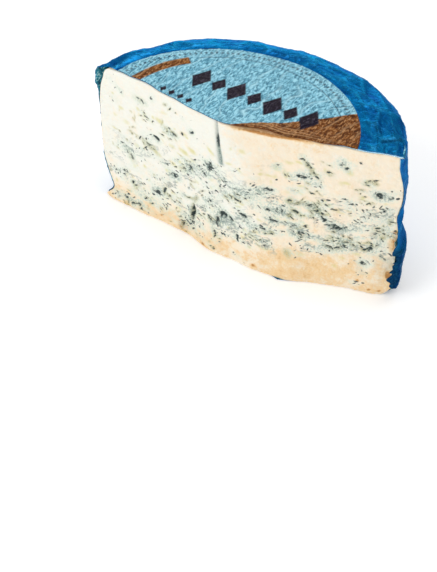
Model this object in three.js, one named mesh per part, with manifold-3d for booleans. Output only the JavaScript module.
// Blue cheese wedge: a little less than half of a cylindrical blue cheese, still in its printed
// blue foil, with a round paper-backed label stuck on top. Millimetres, +Z up. The wheel was cut
// twice with a wire, so two faces meet in a soft upright ridge near the wheel's axis and look
// towards -Y; the round foil-covered wall looks towards +Y.
//
// Three solids:
//   cheese  the paste with its crumbled cut face, holes and chipped corners
//   foil    the wrapper, a thin C-shaped shell over the top, round the wall and underneath
//   label   the round label, stuck slightly off centre on the foil's top
//
// All three are first made as turned bodies about the wheel's axis, then warped alike, and then
// cut by the same wire surface, so the clearances between them stay constant.

import * as THREE from 'three';
import { mergeVertices } from 'three/addons/utils/BufferGeometryUtils.js';
import Module from 'manifold-3d';

// ---------------------------------------------------------------- driving dimensions
const WHEEL_RADIUS = 100;          // outside of the foil
const WHEEL_HEIGHT = 92.6;         // outside of the foil, floor to top
const FOIL_THICKNESS = 0.5;
const CLEARANCE = 0.3;             // between foil and cheese, and between label and foil
const LABEL_THICKNESS = 0.4;
const LABEL_RADIUS = 77.7;
const LABEL_CENTRE = [-5.6, 5.0];  // from the wheel's axis
const SHOULDER = [9, 5];          // top rim: how far in, how far down
const HEEL = [8, 8];               // bottom rim
const SEGMENTS = 72;               // facets round the full wheel

// The cut: at the top the ridge is over the axis, at the base it has drifted to the right.
const RIDGE_TOP = { x: -1, y: 6.6, left: 0.235, right: 0.225, soft: 5 };
const RIDGE_BASE = { x: 27, y: 8.6, left: 0.150, right: 0.290, soft: 10 };

// The wheel's axis in the part's frame, whose origin is under the middle of the bounding box.
const AXIS_X = -1.5;
const AXIS_Y = -54.3;

// ---------------------------------------------------------------- small shape functions
const clamp01 = (t) => Math.min(1, Math.max(0, t));
const ramp = (from, to, v) => {
  const t = clamp01((v - from) / (to - from));
  return t * t * (3 - 2 * t);
};
const hump = (dx, dz) => Math.exp(-dx * dx - dz * dz);
const mix = (a, b, t) => a + (b - a) * t;
const turn = (angle) => (angle < -1 ? angle + 2 * Math.PI : angle);

// The wire's path: a soft V in plan whose corner leans to the right towards the base.
function wireCut(x, z) {
  const t = clamp01(1 - z / WHEEL_HEIGHT);
  const cornerX = mix(RIDGE_TOP.x, RIDGE_BASE.x, t);
  const cornerY = mix(RIDGE_TOP.y, RIDGE_BASE.y, t);
  const left = mix(RIDGE_TOP.left, RIDGE_BASE.left, t);
  const right = mix(RIDGE_TOP.right, RIDGE_BASE.right, t);
  const soft = mix(RIDGE_TOP.soft, RIDGE_BASE.soft, t);
  const u = x - cornerX;
  const bend = Math.sqrt(u * u + soft * soft);
  return cornerY + (left + right) / 2 * bend + (right - left) / 2 * u;
}

// Slow swells left by the wire, and the paste slumping out or in along the base.
function swell(x, z) {
  const low = 1 - ramp(0, 34, z);
  return 0.55 * Math.sin(0.115 * x + 0.051 * z + 0.6) * Math.cos(0.093 * z - 0.4)
    + 0.30 * Math.sin(0.262 * x - 0.118 * z + 2.1)
    + low * (1.6 * hump((x + 35) / 12, 0) - 2.4 * hump((x + 6) / 15, 0) - 1.8 * hump((x - 41) / 8, 0));
}

// Openings in the paste: [x, z, half width, half height, depth], wheel-axis frame.
const HOLLOWS = [
  [-51, 60, 3.0, 2.2, 1.5], [-24, 77, 3.2, 2.0, 1.2], [-37, 41, 3.0, 2.4, 1.6], [-50, 24, 3.4, 2.4, 1.4],
  [-72, 38, 3.2, 2.0, 1.1], [-30, 8, 4.2, 3.6, 2.8], [-0.5, 34, 4.0, 3.6, 2.8], [3.5, 27, 3.2, 4.0, 1.8],
  [8.5, 19, 2.8, 3.6, 1.3], [24, 57, 3.2, 2.4, 1.6], [25, 43, 3.4, 2.4, 1.7], [40, 58, 2.8, 3.2, 1.4],
  [41, 45, 3.0, 2.6, 1.8], [49, 51, 3.6, 2.4, 2.0], [56, 44, 3.0, 2.6, 1.5], [63, 39, 4.0, 2.8, 2.2],
  [59, 25, 3.6, 2.8, 2.6], [65, 28, 2.8, 2.6, 2.0], [38, 33, 3.0, 2.4, 1.6], [37, 16, 3.4, 2.4, 1.4],
  [85, 66, 3.0, 2.4, 1.6], [85, 40, 3.2, 3.0, 1.8], [81, 30, 3.0, 2.4, 1.6], [79, 18, 3.0, 2.6, 1.5],
];

// The crumbled cut face of the paste: the wire's path with swells, openings, a needle channel down
// from the ridge's top and a ragged right edge.
function cutFace(x, z) {
  let y = wireCut(x, z) + swell(x, z) + 0.3;
  for (const [cx, cz, w, h, depth] of HOLLOWS) {
    y += depth * hump((x - cx) / w, (z - cz) / h);
  }
  const channelX = -6.6 + (91 - z) * 0.12;
  y += 2.0 * Math.exp(-Math.pow((x - channelX) / 2.2, 2)) * ramp(64, 72, z);
  const bite = 1.2 + 1.5 * Math.sin(0.42 * z + 0.8) + 1.1 * Math.sin(0.87 * z + 2.0);
  const lost = 2.5 * hump(0, (z - 22) / 15) + 2.0 * hump(0, (z - 57) / 9);
  y += (Math.max(0, bite) + lost) * ramp(86, 97, x);
  y += 0.5 * ramp(4, 0, z);
  return y + 0.22 * Math.sin(1.9 * x + 0.7 * z) * Math.cos(1.3 * z - 0.6 * x);
}

// Height band of the loose foil at the lower right corner.
const looseBand = (z) => ramp(4, 13, z) * ramp(44, 36, z);

// The foil and label were cut by the same wire; their edge wanders less than the paste does, and
// the loose foil at the lower right stands out in front of the face.
function wrapperCut(x, z) {
  const flap = 7 * looseBand(z) * ramp(80, 90, x);
  return wireCut(x, z) + 0.8 * swell(x, z) + 0.35 * Math.sin(0.31 * x + 0.9) - flap;
}

// How far the foil stands off the paste. Round the wall it is dented, pinched out at the top left,
// and bagged at the lower right, where its free end also curls inwards in front of the cut face; on
// the top it ripples and lifts along the cut, just right of the ridge.
function wallSlack(angle, z) {
  const dents = 0.45 + 0.25 * Math.sin(9 * angle + 0.06 * z) + 0.20 * Math.sin(17 * angle - 0.13 * z + 1);
  const bag = 3.9 * hump((angle - 0.36) / 0.17, 0) * ramp(1, 20, z) * ramp(44, 36, z);
  const curl = 9 * ramp(0.262, 0.15, angle) * looseBand(z);
  const crease = 2.0 * hump((turn(angle) - 2.9) / 0.22, (z - 80) / 8);
  return dents + bag + crease - curl;
}
function topSlack(x, y) {
  const ripple = 0.25 + 0.13 * Math.sin(0.11 * x + 0.07 * y) + 0.12 * Math.sin(0.17 * y - 0.05 * x + 1.2);
  return ripple + 1.7 * hump((x - 20) / 15, (y - 9) / 11);
}

// The lower left corner has caved in above a thin foot, paste and foil together.
function caved(angle, z) {
  const depth = 10 * hump(0, (z - 9.5) / 7.5) + 1.6 * hump(0, (z - 28) / 9) - 5 * hump(0, z / 2.2);
  return depth * ramp(2.42, 2.86, turn(angle));
}

// The wheel is not quite level: its top sinks towards the left end.
const sunk = (x, z) => z * (1 - 0.034 * ramp(-62, -98, x));

// ---------------------------------------------------------------- turned bodies
const TOP_RADII = [12, 24, 38, 54, 70];
const WALL_LEVELS = [13, 19, 28, 38, 50, 66];

// Profile of the wheel shrunk by `inset` on every side, from the axis below to the axis above.
// Each row is [radius, height, share of the wall's slack, share of the top's slack, level], where
// the level is the row's height on the unshrunk wheel, so that nested bodies warp row by row alike.
function wheelProfile(inset) {
  const radius = WHEEL_RADIUS - inset;
  const top = WHEEL_HEIGHT - inset;
  const rows = [[0, inset, 0, 0, 0]];
  const quarter = (cx, cz, a, b, from, steps, lift) => {
    for (let i = 0; i <= steps; i += 1) {
      const t = from + (Math.PI / 2) * (i / steps);
      const [c, s] = [Math.max(0, Math.cos(t)), Math.sin(t)];
      rows.push([cx + a * c, cz + b * s, c, Math.max(0, s), cz + b * s + lift]);
    }
  };
  quarter(radius - HEEL[0], inset + HEEL[1], HEEL[0], HEEL[1], -Math.PI / 2, 3, -inset);
  for (const z of WALL_LEVELS) rows.push([radius, z, 1, 0, z]);
  quarter(radius - SHOULDER[0], top - SHOULDER[1], SHOULDER[0], SHOULDER[1], 0, 4, inset);
  for (const r of [...TOP_RADII].reverse()) rows.push([r, top, 0, 1, WHEEL_HEIGHT]);
  rows.push([0, top, 0, 1, WHEEL_HEIGHT]);
  return rows;
}

// Turn a profile about Z. `slack` 0 gives the tight body, 1 the loose one.
function turned(rows, slack) {
  const geometry = new THREE.LatheGeometry(rows.map(([r, z]) => new THREE.Vector2(r, z)), SEGMENTS);
  geometry.rotateX(Math.PI / 2);
  const position = geometry.attributes.position;
  for (let i = 0; i < position.count; i += 1) {
    const [, , wall, top, level] = rows[i % rows.length];
    const [x, y, z] = [position.getX(i), position.getY(i), position.getZ(i)];
    const angle = Math.atan2(y, x);
    const out = wall * (slack * wallSlack(angle, level) - caved(angle, level));
    const up = slack * top * topSlack(x, y);
    const nx = x + out * Math.cos(angle);
    const ny = y + out * Math.sin(angle);
    position.setXYZ(i, nx, ny, sunk(nx, z + up));
  }
  return geometry;
}

// A thin disc that lies on the foil's top with its own rows directly over the foil's.
function labelBlank() {
  const low = WHEEL_HEIGHT + CLEARANCE;
  const high = low + LABEL_THICKNESS;
  const radii = [...TOP_RADII, WHEEL_RADIUS - SHOULDER[0]];
  const rows = [[0, low, 0, 1, low]];
  for (const r of radii) rows.push([r, low, 0, 1, low]);
  for (const r of [...radii].reverse()) rows.push([r, high, 0, 1, high]);
  rows.push([0, high, 0, 1, high]);
  return turned(rows, 1);
}

// A block that keeps what lies behind the surface y = front(x, z).
function keepBehind(front, step) {
  const [wide, deep, tall] = [216, 120, 104];
  const block = new THREE.BoxGeometry(wide, deep, tall, Math.round(wide / step), 1, Math.round(tall / step));
  const position = block.attributes.position;
  for (let i = 0; i < position.count; i += 1) {
    const [x, z] = [position.getX(i), position.getZ(i) + WHEEL_HEIGHT / 2];
    const y = position.getY(i) < 0 ? front(x, z) : deep;
    position.setXYZ(i, x, y, z);
  }
  return block;
}

// ---------------------------------------------------------------- solids
const wasm = await Module();
wasm.setup();

// A closed, consistently wound geometry becomes a solid; turned-in windings are flipped first.
function solid(geometry) {
  const bare = geometry.clone();
  bare.deleteAttribute('normal');
  bare.deleteAttribute('uv');
  const merged = mergeVertices(bare, 1e-4);
  const p = merged.attributes.position.array;
  const index = merged.index.array;
  const triangles = [];
  let volume = 0;
  for (let i = 0; i < index.length; i += 3) {
    const [a, b, c] = [index[i], index[i + 1], index[i + 2]];
    if (a === b || b === c || c === a) continue;
    triangles.push(a, b, c);
    const [ax, ay, az] = [p[3 * a], p[3 * a + 1], p[3 * a + 2]];
    const [bx, by, bz] = [p[3 * b], p[3 * b + 1], p[3 * b + 2]];
    const [cx, cy, cz] = [p[3 * c], p[3 * c + 1], p[3 * c + 2]];
    volume += ax * (by * cz - bz * cy) + ay * (bz * cx - bx * cz) + az * (bx * cy - by * cx);
  }
  if (volume < 0) {
    for (let i = 0; i < triangles.length; i += 3) {
      [triangles[i + 1], triangles[i + 2]] = [triangles[i + 2], triangles[i + 1]];
    }
  }
  return new wasm.Manifold(new wasm.Mesh({
    numProp: 3,
    vertProperties: Float32Array.from(p),
    triVerts: Uint32Array.from(triangles),
  }));
}

function geometryOf(manifold) {
  const mesh = manifold.getMesh();
  const geometry = new THREE.BufferGeometry();
  geometry.setAttribute('position', new THREE.BufferAttribute(Float32Array.from(mesh.vertProperties), 3));
  geometry.setIndex(Array.from(mesh.triVerts));
  geometry.computeVertexNormals();
  return geometry;
}

// A rounded opening: a sphere stretched to half sizes [a, b, c] and tipped about Y.
function opening(x, y, z, a, b, c, tip) {
  const ball = new THREE.SphereGeometry(1, 12, 8);
  ball.scale(a, b, c);
  ball.rotateY(tip);
  ball.translate(x, y, z);
  return solid(ball);
}

// Cheese: the tight wheel behind its crumbled face, less the deep slots that need an undercut.
const inset = FOIL_THICKNESS + CLEARANCE;
let cheeseBody = solid(turned(wheelProfile(inset), 0)).intersect(solid(keepBehind(cutFace, 2.9)));
const SLOTS = [
  [-22.8, 24.5, 1.9, 6.5, 5.2, 0.12],
  [59.5, 24.6, 3.2, 4.2, 1.8, 0.5],
  [-0.5, 34.6, 2.6, 4.8, 2.0, 0.2],
];
for (const [x, z, a, b, c, tip] of SLOTS) {
  cheeseBody = cheeseBody.subtract(opening(x, cutFace(x, z) + 1.2, z, a, b, c, tip));
}

// Foil: the loose wheel less the same wheel one thickness in, opened by the cut.
const foilCut = solid(keepBehind(wrapperCut, 5));
const foilBody = solid(turned(wheelProfile(0), 1))
  .subtract(solid(turned(wheelProfile(FOIL_THICKNESS), 1)))
  .intersect(foilCut);

// Label: the disc blank trimmed to its round outline and opened by the same cut.
const outline = new THREE.CylinderGeometry(LABEL_RADIUS, LABEL_RADIUS, 20, 120);
outline.rotateX(Math.PI / 2);
outline.translate(LABEL_CENTRE[0], LABEL_CENTRE[1], WHEEL_HEIGHT);
const labelBody = solid(labelBlank()).intersect(solid(outline)).intersect(foilCut);

// ---------------------------------------------------------------- scene graph
const cheese = new THREE.Mesh(
  geometryOf(cheeseBody),
  new THREE.MeshStandardMaterial({ color: 0xeee6cb, roughness: 0.62, metalness: 0 }),
);
cheese.name = 'cheese';

const foil = new THREE.Mesh(
  geometryOf(foilBody),
  new THREE.MeshStandardMaterial({ color: 0x1267a3, roughness: 0.3, metalness: 0.75 }),
);
foil.name = 'foil';

const label = new THREE.Mesh(
  geometryOf(labelBody),
  new THREE.MeshStandardMaterial({ color: 0x7ab4cb, roughness: 0.45, metalness: 0.1 }),
);
label.name = 'label';

const wheel = new THREE.Group();
wheel.position.set(AXIS_X, AXIS_Y, 0);
wheel.add(cheese, foil, label);

const group = new THREE.Group();
group.add(wheel);

export default group;
